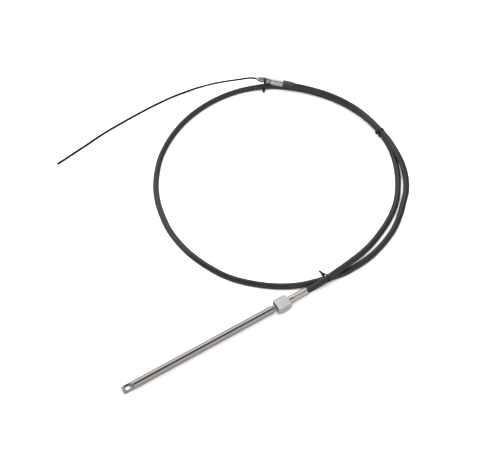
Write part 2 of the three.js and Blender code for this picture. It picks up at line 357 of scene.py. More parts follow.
def steelMaterial(name, finish):
    # metal with fine tool marks along one direction, broad stains and a little wear
    mat, nodes, links, shader = newMaterial(name)
    shader.inputs["Metallic"].default_value = finish.get("metal", 1.0)
    turn = math.radians(finish.get("turn", 0))
    marks = noiseFrom(nodes, links, "Object", finish["grain"], finish["stretch"], 3, turn)
    stains = noiseFrom(nodes, links, "Object", 38, (2.5, 1, 1), 5, turn, (0.31, 0.17, 0))
    color = shades(nodes, links, marks, (0.3, finish["dark"]), (0.7, finish["light"]))
    mix = nodes.new("ShaderNodeMix")
    mix.data_type = "RGBA"
    mix.blend_type = "MULTIPLY"
    mix.inputs["Factor"].default_value = 1.0
    links.new(color, mix.inputs["A"])
    stain = shades(nodes, links, stains, (0.25, tone(0.9, 0.01)), (0.65, tone(1.0)))
    links.new(stain, mix.inputs["B"])
    links.new(mix.outputs["Result"], shader.inputs["Base Color"])
    rough = spreadTo(nodes, links, stains, finish["roughLow"], finish["roughHigh"])
    links.new(rough, shader.inputs["Roughness"])
    bumped(nodes, links, shader, marks, finish["bump"], 0.0003)
    return mat


def plasticMaterial(name, finish, source="Object"):
    # black plastic: soft sheen, faint dust, fine grain
    mat, nodes, links, shader = newMaterial(name)
    dust = noiseFrom(nodes, links, source, finish["dust"], finish["stretch"], 6)
    grain = noiseFrom(nodes, links, source, finish["grain"], (1, 1, 1), 3)
    color = shades(nodes, links, dust, (0.35, finish["dark"]), (0.75, finish["light"]))
    links.new(color, shader.inputs["Base Color"])
    rough = spreadTo(nodes, links, dust, finish["roughLow"], finish["roughHigh"])
    links.new(rough, shader.inputs["Roughness"])
    shader.inputs["Specular IOR Level"].default_value = finish.get("gloss", 0.5)
    bumped(nodes, links, shader, grain, finish["bump"], 0.0002)
    return mat


for sheet in (floorObj, reflectionGlowSheet):
    mat, nodes, links, shader = newMaterial(sheet.name)
    shader.inputs["Base Color"].default_value = floor["color"]
    shader.inputs["Roughness"].default_value = floor["roughness"]
    shader.inputs["Specular IOR Level"].default_value = 0.1
    if sheet is reflectionGlowSheet:  # glows evenly: a painted reflection of the darker table seen in the steel
        # black base with a set glow: a painted reflection, not a lit table
        shader.inputs["Base Color"].default_value = (0, 0, 0, 1)
        shader.inputs["Emission Color"].default_value = floor["reflectionGlow"]
        shader.inputs["Emission Strength"].default_value = 1.0
    sheet.data.materials.append(mat)


# the cable's routes, in metres, as the frame has them

conduitRoute = [
    (0.03875, -0.2554, 0.01474), (0.05675, -0.2554, 0.01474), (0.07275, -0.2554, 0.0149),
    (0.08675, -0.2558, 0.0176), (0.10075, -0.2558, 0.0212), (0.11375, -0.2548, 0.0226),
    (0.12675, -0.2529, 0.022), (0.14375, -0.2503, 0.0194), (0.16275, -0.2466, 0.0162),
    (0.18475, -0.2416, 0.0112), (0.20875, -0.2356, 0.0076), (0.23275, -0.2286, 0.0065),
    (0.25975, -0.2181, 0.0065), (0.28775, -0.2051, 0.0065), (0.31675, -0.1876, 0.0065),
    (0.34275, -0.1666, 0.0065), (0.37275, -0.1316, 0.0065), (0.39375, -0.0986, 0.0065),
    (0.41075, -0.0606, 0.007), (0.42075, -0.0146, 0.0082), (0.42175, 0.0304, 0.008),
    (0.41475, 0.0744, 0.007), (0.39875, 0.1184, 0.0065), (0.37575, 0.1574, 0.0065),
    (0.34575, 0.1954, 0.0065), (0.31575, 0.2224, 0.0068), (0.29475, 0.2369, 0.0079),
    (0.27275, 0.2484, 0.0089), (0.25275, 0.2564, 0.0083), (0.23475, 0.2629, 0.007),
    (0.21175, 0.2684, 0.0065), (0.17575, 0.2714, 0.0065), (0.13875, 0.2694, 0.0065),
    (0.10175, 0.2624, 0.0065), (0.06575, 0.2504, 0.0065), (0.02975, 0.2324, 0.0065),
    (-0.00225, 0.2104, 0.0065), (-0.03215, 0.1834, 0.0065), (-0.05665, 0.1524, 0.0065),
    (-0.07725, 0.1174, 0.0065), (-0.09125, 0.0814, 0.0065), (-0.09925, 0.0444, 0.0065),
    (-0.10325, 0.0074, 0.0065), (-0.10125, -0.0266, 0.0065), (-0.09525, -0.0596, 0.0065),
    (-0.08525, -0.0906, 0.0065), (-0.07233, -0.1196, 0.0065), (-0.05763, -0.1456, 0.0065),
    (-0.03901, -0.1686, 0.0065), (-0.01825, -0.1886, 0.0065), (0.00375, -0.2066, 0.0065),
    (0.02875, -0.2226, 0.0065), (0.05475, -0.235, 0.0066), (0.08075, -0.2438, 0.0081),
    (0.10375, -0.25, 0.0089), (0.12475, -0.2543, 0.0081), (0.14675, -0.2566, 0.0065),
    (0.16675, -0.2566, 0.0065), (0.18875, -0.2556, 0.0065), (0.21075, -0.2526, 0.0065),
    (0.23475, -0.2466, 0.0065), (0.26375, -0.2366, 0.0065), (0.29375, -0.2226, 0.0065),
    (0.32475, -0.2016, 0.0065), (0.34975, -0.1806, 0.0066), (0.37175, -0.1606, 0.007),
    (0.38875, -0.1376, 0.0098), (0.40075, -0.1106, 0.015), (0.40775, -0.0846, 0.0189),
    (0.41275, -0.0586, 0.0202), (0.41575, -0.0346, 0.0212), (0.41625, -0.0066, 0.0216),
    (0.41575, 0.0224, 0.0213), (0.41275, 0.0554, 0.0205), (0.40475, 0.0884, 0.02),
    (0.39275, 0.1184, 0.0198), (0.37775, 0.1454, 0.0198), (0.36075, 0.1684, 0.0201),
    (0.34255, 0.1879, 0.0216), (0.32555, 0.2049, 0.0224), (0.31075, 0.2197, 0.0224),
    (0.29755, 0.2329, 0.0224),
]

coreRoute = [
    (0.26955, 0.261, 0.0224), (0.25695, 0.2735, 0.0224), (0.24575, 0.2804, 0.0216),
    (0.22875, 0.2889, 0.0188), (0.20975, 0.2989, 0.0158), (0.19075, 0.3084, 0.0128),
    (0.17075, 0.3169, 0.0096), (0.15075, 0.3234, 0.007), (0.13075, 0.3284, 0.005),
    (0.10975, 0.3314, 0.0036), (0.08675, 0.3334, 0.0029), (0.05675, 0.3334, 0.0026),
    (0.01275, 0.3304, 0.0026), (-0.03025, 0.3254, 0.0026), (-0.07225, 0.3194, 0.0026),
    (-0.11325, 0.3124, 0.0026), (-0.15425, 0.3024, 0.0026), (-0.19325, 0.2934, 0.0026),
    (-0.23225, 0.2844, 0.0026),
]


def smoothRoute(points, spacing):  # centripetal curve through the points, cut into even steps
    pts = [Vector(p) for p in points]
    pts = [2 * pts[0] - pts[1]] + pts + [2 * pts[-1] - pts[-2]]
    fine = []
    for i in range(1, len(pts) - 2):
        p0, p1, p2, p3 = pts[i - 1:i + 3]
        t1 = (p1 - p0).length ** 0.5
        t2 = t1 + (p2 - p1).length ** 0.5
        t3 = t2 + (p3 - p2).length ** 0.5
        for k in range(24):
            t = t1 + (t2 - t1) * k / 24
            a1 = p0 * ((t1 - t) / t1) + p1 * (t / t1)
            a2 = p1 * ((t2 - t) / (t2 - t1)) + p2 * ((t - t1) / (t2 - t1))
            a3 = p2 * ((t3 - t) / (t3 - t2)) + p3 * ((t - t2) / (t3 - t2))
            b1 = a1 * ((t2 - t) / t2) + a2 * (t / t2)
            b2 = a2 * ((t3 - t) / (t3 - t1)) + a3 * ((t - t1) / (t3 - t1))
            fine.append(b1 * ((t2 - t) / (t2 - t1)) + b2 * ((t - t1) / (t2 - t1)))
    fine.append(pts[-2])
    total = sum((b - a).length for a, b in zip(fine, fine[1:]))
    count = max(2, round(total / spacing))
    even, run, k = [fine[0]], 0.0, 0
    for n in range(1, count):
        want = total * n / count
        while run + (fine[k + 1] - fine[k]).length < want:
            run += (fine[k + 1] - fine[k]).length
            k += 1
        even.append(fine[k].lerp(fine[k + 1], (want - run) / (fine[k + 1] - fine[k]).length))
    even.append(fine[-1])
    return even, total


def tubeAlong(name, points, radius, sides):  # its UV map is metres along and metres round
    verts, faces, uvs = [], [], []
    run = [0.0]
    for a, b in zip(points, points[1:]):
        run.append(run[-1] + (b - a).length)
    for i, p in enumerate(points):
        tangent = (points[min(i + 1, len(points) - 1)] - points[max(i - 1, 0)]).normalized()
        side = tangent.cross(Vector((0, 0, 1))).normalized()
        up = side.cross(tangent).normalized()
        for j in range(sides):
            a = 2 * math.pi * j / sides - math.pi / 2
            verts.append(p + side * (radius * math.cos(a)) + up * (radius * math.sin(a)))
    around = 2 * math.pi * radius / sides
    for i in range(len(points) - 1):
        for j in range(sides):
            k = (j + 1) % sides
            faces.append((i * sides + j, i * sides + k, (i + 1) * sides + k, (i + 1) * sides + j))
            u0, u1, v0, v1 = run[i], run[i + 1], around * j, around * (j + 1)
            uvs += [(u0, v0), (u0, v1), (u1, v1), (u1, v0)]
    for start in (0, (len(points) - 1) * sides):
        faces.append(tuple(start + j for j in range(sides)))
        uvs += [(0, around * j) for j in range(sides)]
    mesh = bpy.data.meshes.new(name)
    mesh.from_pydata([tuple(v) for v in verts], [], faces)
    layer = mesh.uv_layers.new(name="UVMap")
    layer.data.foreach_set("uv", [n for uv in uvs for n in uv])
    finishMesh(mesh, 60)
    return addObject(name, mesh)


# conduit

conduit = {
    "diameter": 0.0125, "spacing": 0.005, "sides": 36,
    "exit": (0.05545, -0.2554, 0.01474),
    "finish": {"dust": 60, "stretch": (6, 1, 1), "grain": 1400, "bump": 0.06, "gloss": 1.0,
               "dark": (0.0035, 0.0045, 0.006, 1), "light": (0.008, 0.0105, 0.014, 1),
               "roughLow": 0.26, "roughHigh": 0.38},
}
conduitPath, conduitLength = smoothRoute(conduitRoute, conduit["spacing"])
jacket = tubeAlong("conduit_jacket", conduitPath, conduit["diameter"] / 2, conduit["sides"])
jacket.data.materials.append(plasticMaterial("jacket", conduit["finish"], "UV"))
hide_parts("conduit")
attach(jacket, "cable")
print("conduit", round(conduitLength, 4))


# inner core: a dark rod with a wire wound round it

core = {
    "diameter": 0.005, "rod": 0.00475, "wire": 0.0009, "pitch": 0.0026, "sides": 16,
    "stepsPerTurn": 14, "spacing": 0.006,
    "hidden": 0.0087,  # how much of it is inside the ferrule
    "finish": {"grain": 1500, "stretch": (1, 1, 1), "bump": 0.1,
               "light": tone(0.085, -0.06), "dark": tone(0.03, -0.06),
               "roughLow": 0.32, "roughHigh": 0.5},
}
corePath, coreLength = smoothRoute(coreRoute, core["spacing"])
coreSteel = steelMaterial("wound wire", core["finish"])


def woundCoreTree():
    tree = bpy.data.node_groups.new("woundCore", "GeometryNodeTree")
    face = tree.interface
    face.new_socket("Geometry", in_out="INPUT", socket_type="NodeSocketGeometry")
    face.new_socket("Geometry", in_out="OUTPUT", socket_type="NodeSocketGeometry")
    for label in ("Rod Radius", "Wire Radius", "Winding Radius", "Pitch", "Step"):
        face.new_socket(label, in_out="INPUT", socket_type="NodeSocketFloat")
    face.new_socket("Sides", in_out="INPUT", socket_type="NodeSocketInt")
    face.new_socket("Material", in_out="INPUT", socket_type="NodeSocketMaterial")
    nodes, links = tree.nodes, tree.links
    given = nodes.new("NodeGroupInput")
    result = nodes.new("NodeGroupOutput")

    def node(kind, **sets):
        made = nodes.new(kind)
        for key, value in sets.items():
            setattr(made, key, value)
        return made

    rodCircle = node("GeometryNodeCurvePrimitiveCircle")
    links.new(given.outputs["Sides"], rodCircle.inputs["Resolution"])
    links.new(given.outputs["Rod Radius"], rodCircle.inputs["Radius"])
    rod = node("GeometryNodeCurveToMesh")
    rod.inputs["Fill Caps"].default_value = True
    links.new(given.outputs["Geometry"], rod.inputs["Curve"])
    links.new(rodCircle.outputs["Curve"], rod.inputs["Profile Curve"])

    fine = node("GeometryNodeResampleCurve", mode="LENGTH")
    links.new(given.outputs["Geometry"], fine.inputs["Curve"])
    links.new(given.outputs["Step"], fine.inputs["Length"])
    along = node("GeometryNodeSplineParameter")
    turns = node("ShaderNodeMath", operation="DIVIDE")
    links.new(along.outputs["Length"], turns.inputs[0])
    links.new(given.outputs["Pitch"], turns.inputs[1])
    angle = node("ShaderNodeMath", operation="MULTIPLY")
    angle.inputs[1].default_value = 2 * math.pi
    links.new(turns.outputs[0], angle.inputs[0])
    normal = node("GeometryNodeInputNormal")
    tangent = node("GeometryNodeInputTangent")
    across = node("ShaderNodeVectorMath", operation="CROSS_PRODUCT")
    links.new(tangent.outputs[0], across.inputs[0])
    links.new(normal.outputs[0], across.inputs[1])
    parts = []
    for wave, direction in (("COSINE", normal.outputs[0]), ("SINE", across.outputs["Vector"])):
        w = node("ShaderNodeMath", operation=wave)
        links.new(angle.outputs[0], w.inputs[0])
        reach = node("ShaderNodeMath", operation="MULTIPLY")
        links.new(w.outputs[0], reach.inputs[0])
        links.new(given.outputs["Winding Radius"], reach.inputs[1])
        scaled = node("ShaderNodeVectorMath", operation="SCALE")
        links.new(direction, scaled.inputs[0])
        links.new(reach.outputs[0], scaled.inputs["Scale"])
        parts.append(scaled)
    offset = node("ShaderNodeVectorMath", operation="ADD")
    links.new(parts[0].outputs["Vector"], offset.inputs[0])
    links.new(parts[1].outputs["Vector"], offset.inputs[1])
    moved = node("GeometryNodeSetPosition")
    links.new(fine.outputs["Curve"], moved.inputs["Geometry"])
    links.new(offset.outputs["Vector"], moved.inputs["Offset"])
    wireCircle = node("GeometryNodeCurvePrimitiveCircle")
    wireCircle.inputs["Resolution"].default_value = 6
    links.new(given.outputs["Wire Radius"], wireCircle.inputs["Radius"])
    wire = node("GeometryNodeCurveToMesh")
    wire.inputs["Fill Caps"].default_value = True
    links.new(moved.outputs["Geometry"], wire.inputs["Curve"])
    links.new(wireCircle.outputs["Curve"], wire.inputs["Profile Curve"])

    join = node("GeometryNodeJoinGeometry")
    links.new(rod.outputs["Mesh"], join.inputs["Geometry"])
    links.new(wire.outputs["Mesh"], join.inputs["Geometry"])
    real = node("GeometryNodeRealizeInstances")
    links.new(join.outputs["Geometry"], real.inputs["Geometry"])
    coat = node("GeometryNodeSetMaterial")
    links.new(real.outputs["Geometry"], coat.inputs["Geometry"])
    links.new(given.outputs["Material"], coat.inputs["Material"])
    links.new(coat.outputs["Geometry"], result.inputs["Geometry"])
    return tree


def socketId(tree, label):
    return next(s.identifier for s in tree.interface.items_tree
                if s.item_type == "SOCKET" and s.in_out == "INPUT" and s.name == label)


def curveObject(name, points):
    data = bpy.data.curves.new(name, "CURVE")
    data.dimensions = "3D"
    spline = data.splines.new("POLY")
    spline.points.add(len(points) - 1)
    for point, p in zip(spline.points, points):
        point.co = (*p, 1)
    return addObject(name, data)


def growOn(obj, tree, values):  # runs a node tree on an object and returns the plain mesh
    mod = obj.modifiers.new("nodes", "NODES")
    mod.node_group = tree
    for label, value in values.items():
        mod[socketId(tree, label)] = value
    graph = bpy.context.evaluated_depsgraph_get()
    mesh = bpy.data.meshes.new_from_object(obj.evaluated_get(graph), depsgraph=graph)
    obj.modifiers.remove(mod)
    return mesh


guide = curveObject("core_guide", corePath)
coreMesh = growOn(guide, woundCoreTree(), {
    "Rod Radius": core["rod"] / 2, "Wire Radius": core["wire"] / 2,
    "Winding Radius": (core["diameter"] - core["wire"]) / 2, "Pitch": core["pitch"],
    "Step": core["pitch"] / core["stepsPerTurn"], "Sides": core["sides"], "Material": coreSteel,
})
bpy.data.objects.remove(guide)
coreObj = addObject("wound_core", coreMesh)
finishMesh(coreMesh, 60)
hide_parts("inner_core")
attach(coreObj, "cable")
print("inner core", round(coreLength, 4), len(coreMesh.polygons), "faces")


# the two axes that the metal pieces are turned about

ramAxis = {"origin": Vector((0, -0.2554, 0.01474)), "along": Vector((1, 0, 0)), "side": Vector((0, 1, 0))}
lean = math.sqrt(0.5)
helmAxis = {"origin": Vector((0.26329, 0.26725, 0.0224)), "along": Vector((lean, -lean, 0)),
            "side": Vector((lean, lean, 0))}


# ram

ram = {
    "tip": -330.75, "back": -20.25, "radius": 7.9375, "bore": 6.35, "solid": 24,
    "tipRound": 2.4, "backChamfer": 0.9, "flatThickness": 11, "flatLength": 21,
    "eye": 9.7, "eyeFromTip": 10.5, "edge": 0.0003,
    "milled": {"grain": 1300, "stretch": (1, 12, 1), "bump": 0.08,
               "light": tone(0.76, 0.01), "dark": tone(0.52, 0.015),
               "roughLow": 0.2, "roughHigh": 0.32},
    # the eye's wall: dark steel, painted shade inside the hole
    "eyeWallShade": {"grain": 1500, "stretch": (1, 1, 1), "bump": 0.06,
              "light": tone(0.30, 0.02), "dark": tone(0.18, 0.03),
              "roughLow": 0.3, "roughHigh": 0.42},
    "finish": {"grain": 1100, "stretch": (30, 1, 1), "bump": 0.02,
               "light": tone(0.74, 0.012), "dark": tone(0.64, 0.018),
               "roughLow": 0.05, "roughHigh": 0.10},
}


def buildRam():
    tip, back, radius = ram["tip"], ram["back"], ram["radius"]
    reach = 0.012  # how far the cutters go past the rod's middle
    rings = []
    for i in range(9):
        a = math.pi / 2 * i / 8
        rings.append((tip + ram["tipRound"] * (1 - math.cos(a)),
                      radius - ram["tipRound"] * (1 - math.sin(a))))
    rings += [(tip + 40, radius), (back - ram["backChamfer"] - 0.4, radius),
              (back - ram["backChamfer"], radius - 0.12), (back, radius - ram["backChamfer"]),
              (back, ram["bore"] + 0.5), (back - 0.5, ram["bore"]),
              (tip + ram["solid"], ram["bore"])]
    obj = ringSolid("ram_body", rings, ramAxis, evenAngles(128), False)
    for side in (-1, 1):
        low = side * (ram["flatThickness"] / 2) * mm
        xs = (tip - 5) * mm, (tip + ram["flatLength"]) * mm
        zs = sorted((low, low + side * radius * mm))
        corners = [placeOn(ramAxis, x, y, z) for x in xs for y in (-reach, reach) for z in zs]
        cutAway(obj, meshObject("flat_cutter", corners, boxFaces))
    centre = placeOn(ramAxis, (tip + ram["eyeFromTip"]) * mm, 0, 0)
    eyeRadius, count = ram["eye"] / 2 * mm, 64
    verts = [centre + Vector((eyeRadius * math.cos(a), eyeRadius * math.sin(a), z))
             for z in (-reach, reach) for a in evenAngles(count)]
    faces = [(j, (j + 1) % count, count + (j + 1) % count, count + j) for j in range(count)]
    faces += [tuple(range(count)), tuple(range(count, 2 * count))]
    cutAway(obj, meshObject("eye_cutter", verts, faces))
    softenEdges(obj, ram["edge"])
    return obj


def markFlatsAndShadedEye(obj):  # the flats are milled, so duller than the drawn rod; the eye's wall gets dark steel, painted shade inside the hole
    stepX = (ram["tip"] + ram["flatLength"]) * mm
    axisZ = ramAxis["origin"].z
    for face in obj.data.polygons:
        flat = abs(face.normal.z) > 0.99 and abs(face.center.z - axisZ) < ram["flatThickness"] * 0.51 * mm
        hole = abs(face.normal.z) < 0.2 and (Vector((
            face.center.x - (ram["tip"] + ram["eyeFromTip"]) * mm,
            face.center.y - ramAxis["origin"].y)).length < ram["eye"] * 0.56 * mm)
        # index 1 is the milled flats, index 2 the eye's wall with painted shade
        if face.center.x < stepX and (flat or hole):
            face.material_index = 1 if flat else 2


ramObj = buildRam()
ramObj.data.materials.clear()
ramObj.data.materials.append(steelMaterial("drawn steel", ram["finish"]))
ramObj.data.materials.append(steelMaterial("milled steel", ram["milled"]))
# dark steel for the eye's wall: painted shade
ramObj.data.materials.append(steelMaterial("eye wall steel with painted shade", ram["eyeWallShade"]))
markFlatsAndShadedEye(ramObj)
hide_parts("output_ram")
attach(ramObj, "ram")
print("ram", len(ramObj.data.polygons), "faces")


# guide tube, seen between the ram and the nut and when the ram is out

guideTube = {
    "front": -301.75, "back": 14.15, "radius": 6, "bore": 3.2,
    "finish": {"grain": 900, "stretch": (20, 1, 1), "bump": 0.04,
               "light": tone(0.66, 0.01), "dark": tone(0.56, 0.015),
               "roughLow": 0.2, "roughHigh": 0.3},
}


def buildGuideTube():
    front, back, radius, bore = (guideTube[k] for k in ("front", "back", "radius", "bore"))
    outline = roundedOutline([(front, bore), (front, radius), (back, radius), (back, bore)],
                             [0.3, 0.5, 0.3, 0.2])
    return ringSolid("guide_tube_body", outline, ramAxis, evenAngles(72), True)


guideObj = buildGuideTube()
guideObj.data.materials.append(steelMaterial("tube steel", guideTube["finish"]))
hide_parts("guide_tube")
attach(guideObj, "cable")
print("guide tube")


# coupling nut with its inside thread

nut = {
    "front": -13.25, "back": 13.75, "flats": 26, "turn": 19.1, "chamfer": 1.7, "face": 12.61,
    "hardness": 150, "recess": 10.55, "recessDepth": 21, "hole": 8.45,
    "pitch": 1.81, "threadDepth": 0.7, "threadStart": 2.2, "threadEnd": 17.5,
    "finish": {"grain": 700, "stretch": (1, 3, 3), "bump": 0.05, "metal": 0.8,
               "light": tone(0.86, -0.008), "dark": tone(0.78, -0.008),
               "roughLow": 0.36, "roughHigh": 0.48},
}


def buildNut():
    front, back = nut["front"], nut["back"]
    hexagon = polygonRadius(nut["flats"], 6, nut["turn"], nut["hardness"])
    corner = nut["flats"] / 2 / math.cos(math.pi / 6)

    def outside(x):  # the hexagon, turned down towards both ends
        inFromEnd = min(x - front, back - x)
        slope = (corner + 0.15 - nut["face"]) / nut["chamfer"]
        limit = nut["face"] + slope * inFromEnd * (1.25 - 0.25 * min(1, inFromEnd / nut["chamfer"]))

        return lambda a: softMin(hexagon(a), limit, 40)

    rings = [(front + 1.1, nut["recess"]), (front + 0.15, nut["recess"] + 0.85),
             (front, nut["recess"] + 1.1), (front, nut["face"] - 0.5)]
    steps = [0.0, 0.1, 0.25, 0.45, 0.7, 1.0, 1.35, 1.75, 2.2, 2.8, 3.6, 5]
    rings += [(front + s, outside(front + s)) for s in steps]
    rings += [(front + s, outside(front + s)) for s in (8, 11, 13.5, 16, 19)]
    rings += [(back - s, outside(back - s)) for s in reversed(steps)]
    rings += [(back, nut["face"] - 0.5), (back, nut["hole"] + 0.6), (back - 0.5, nut["hole"]),
              (front + nut["recessDepth"], nut["hole"])]
    rings.append((front + nut["recessDepth"], nut["recess"]))
    x = front + nut["threadEnd"]
    while x > front + nut["threadStart"]:
        rings.append((x, threadRadius(x)))
        x -= nut["pitch"] / 8
    return ringSolid("nut_body", rings, ramAxis, cornerAngles(6, nut["turn"], 4, 0.5, 26), True, 32)


def threadRadius(x):
    def radius(a):
        turn = (x / nut["pitch"] - a / (2 * math.pi)) % 1
        ridge = abs(2 * turn - 1)
        into = min(1, (x - nut["front"] - nut["threadStart"]) / 1.5,
                   (nut["front"] + nut["threadEnd"] - x) / 1.5)
        return nut["recess"] - 0.2 + nut["threadDepth"] * ridge * max(0, into)
    return radius


nutObj = buildNut()
nutObj.data.materials.append(steelMaterial("plated steel", nut["finish"]))
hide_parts("coupling_nut")
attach(nutObj, "nut")
print("nut", len(nutObj.data.polygons), "faces")


# output sleeve: flange inside the nut, smooth neck, eight-sided crimp on the conduit

outputSleeve = {
    "front": 2.45, "flange": 10.3, "flangeEnd": 7.45, "neck": 8.1, "crimpStart": 24.45, "end": 55.45,
    "flats": 14.9, "corners": 7.95, "hardness": 70, "guideHole": 6.35, "guideEnd": 14.45,
    "coreHole": 3.2, "conduitHole": 6.6, "conduitStart": 38.45, "endRound": 1.2, "press": 0.12,
    "finish": {"grain": 800, "stretch": (2, 1, 1), "bump": 0.03, "metal": 0.98,
               "light": tone(0.94, 0.02), "dark": tone(0.84, 0.025),
               "roughLow": 0.14, "roughHigh": 0.24},
}


def crimpRings(sleeve, start, firstRadius):
    # a step up, then long flats pressed in a little between both ends
    end, flats, corners = sleeve["end"], sleeve["flats"], sleeve["corners"]
    pressed, endRound = flats - 2 * sleeve["press"], sleeve["endRound"]

    def octagon(across, cornerRadius):
        return polygonRadius(across, 8, 22.5, sleeve["hardness"], cornerRadius)

    rings = [(start, firstRadius)]
    for step, inset in ((0.0, 0.25), (0.35, 0.06), (0.9, 0.0), (2.0, 0.0)):
        rings.append((start + step, octagon(flats, corners - inset)))
    rings.append((start + 2.8, octagon(pressed, corners)))
    for share in (0.2, 0.33, 0.5, 0.66, 0.8):
        rings.append((start + (end - start) * share, octagon(pressed, corners)))
    rings += [(end - 2.6, octagon(pressed, corners)), (end - 1.9, octagon(flats, corners))]
    for i in range(6):
        a = math.pi / 2 * i / 5
        rings.append((end - endRound * (1 - math.sin(a)),
                      octagon(flats, corners - endRound * (1 - math.cos(a)))))
    return rings


def buildOutputSleeve():
    front, end, flange, flangeEnd, neck = (outputSleeve[k] for k in (
        "front", "end", "flange", "flangeEnd", "neck"))
    guideHole, guideEnd, coreHole, conduitHole, conduitStart = (outputSleeve[k] for k in (
        "guideHole", "guideEnd", "coreHole", "conduitHole", "conduitStart"))
    rings = [(front, guideHole), (front, flange - 0.5), (front + 0.5, flange),
             (flangeEnd - 0.4, flange), (flangeEnd, flange - 0.4), (flangeEnd, neck + 0.5),
             (flangeEnd + 0.5, neck), (13, neck), (19, neck)]
    rings += crimpRings(outputSleeve, outputSleeve["crimpStart"], neck)
    rings += [(end, conduitHole + 0.1), (end - 0.3, conduitHole), (conduitStart, conduitHole),
              (conduitStart, coreHole), (guideEnd, coreHole), (guideEnd, guideHole)]
    return ringSolid("output_sleeve_body", rings, ramAxis, cornerAngles(8, 22.5, 5, 1, 10), True)


outputSleeveObj = buildOutputSleeve()
outputSleeveObj.data.materials.append(steelMaterial("sleeve steel", outputSleeve["finish"]))
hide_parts("output_sleeve")
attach(outputSleeveObj, "cable")
print("output sleeve")


# helm end: grooved nose that locks in the helm, crimped sleeve, black boot

ferrule = {
    "tip": 3.3, "body": 6.8, "cone": 8.5, "grooveStart": 16.5, "grooveEnd": 23.5, "groove": 5.3,
    "end": 36, "hole": 2.85, "holeDepth": 9, "scoreStart": 29.2, "scoreEnd": 30.4, "score": 0.22,
    "finish": {"grain": 800, "stretch": (1, 1, 1), "bump": 0.03, "turn": -45,
               "light": tone(0.80, 0.07), "dark": tone(0.50, 0.12), "metal": 0.97,
               "roughLow": 0.12, "roughHigh": 0.22},
}


def buildFerrule():
    tip, body, groove, hole, end = (ferrule[k] for k in ("tip", "body", "groove", "hole", "end"))
    grooveStart, grooveEnd = ferrule["grooveStart"], ferrule["grooveEnd"]
    scoreStart, scoreEnd, score = ferrule["scoreStart"], ferrule["scoreEnd"], ferrule["score"]
    outline = [(0, hole + 0.15), (0, tip - 0.1), (0.15, tip + 0.1)]
    outline += roundedEdge((0.15, tip), (ferrule["cone"], body), (14, body), 2.0, 8)
    outline += roundedEdge((10, body), (grooveStart - 1, body), (grooveStart, groove), 0.4)
    outline += roundedEdge((grooveStart - 1, body), (grooveStart, groove), (20, groove), 0.4)
    outline += roundedEdge((18, groove), (grooveEnd, groove), (grooveEnd + 1, body), 0.4)
    outline += roundedEdge((grooveEnd, groove), (grooveEnd + 1, body), (30, body), 0.4)
    outline += [(scoreStart, body), (scoreStart + 0.3, body - score), (scoreEnd - 0.3, body - score),
                (scoreEnd, body),
                (end - 0.4, body), (end, body - 0.4), (end, hole), (ferrule["holeDepth"], hole),
                (0.2, hole)]
    return ringSolid("ferrule_body", outline, helmAxis, evenAngles(96), True)


ferruleObj = buildFerrule()
ferruleObj.data.materials.append(steelMaterial("nose steel", ferrule["finish"]))
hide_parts("helm_ferrule")
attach(ferruleObj, "cable")

helmSleeve = {"start": 36.3, "end": 64, "flats": 15.6, "corners": 8.3, "hardness": 70,
              "hole": 6.6, "holeStart": 48, "endRound": 1.2, "press": 0.15,
              "finish": {"grain": 800, "stretch": (3, 1, 1), "bump": 0.03, "turn": -45, "metal": 0.95,
                         "light": tone(0.94, 0.03), "dark": tone(0.84, 0.045),
                         "roughLow": 0.16, "roughHigh": 0.28}}


def buildHelmSleeve():
    start, end, hole, holeStart = (helmSleeve[k] for k in ("start", "end", "hole", "holeStart"))
    rings = [(start, 3.0), (start, ferrule["body"])]
    rings += crimpRings(helmSleeve, start, helmSleeve["corners"] - 0.7)
    rings += [(end, hole + 0.1), (end - 0.3, hole), (holeStart, hole), (holeStart, 3.0)]
    return ringSolid("helm_sleeve_body", rings, helmAxis, cornerAngles(8, 22.5, 5, 1, 10), True)


helmSleeveObj = buildHelmSleeve()
helmSleeveObj.data.materials.append(steelMaterial("crimp steel", helmSleeve["finish"]))
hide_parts("helm_sleeve")
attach(helmSleeveObj, "cable")

boot = {
    "start": 64.3, "end": 88, "bore": 6.6, "rim": 8.5, "body": 8.15, "tail": 7.4,
    "finish": {"dust": 70, "stretch": (1, 1, 1), "grain": 1500, "bump": 0.16, "gloss": 0.6,
               "dark": (0.014, 0.017, 0.021, 1), "light": (0.028, 0.034, 0.041, 1),
               "roughLow": 0.38, "roughHigh": 0.52},
}


def buildBoot():
    start, end, bore, rim, body, tail = (boot[k] for k in (
        "start", "end", "bore", "rim", "body", "tail"))
    outline = [(start, bore + 0.2), (start, rim - 0.6)]
    outline += roundedEdge((start, 7), (start + 0.1, rim), (start + 3, rim), 0.6)
    outline += roundedEdge((start, rim), (start + 3.2, rim), (start + 3.6, body), 0.4)
    outline += [(start + 3.8, body), (start + 9, body - 0.05), (start + 16, body - 0.35),
                (end - 1.5, tail + 0.05), (end - 0.5, tail - 0.1), (end, tail - 0.5),
                (end, bore + 0.15), (end - 0.3, bore)]
    return ringSolid("boot_body", outline, helmAxis, evenAngles(96), True)


bootObj = buildBoot()
bootObj.data.materials.append(plasticMaterial("boot", boot["finish"]))
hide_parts("helm_boot")
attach(bootObj, "cable")
print("helm end")


# cable ties: strap, head and cut tail with its teeth

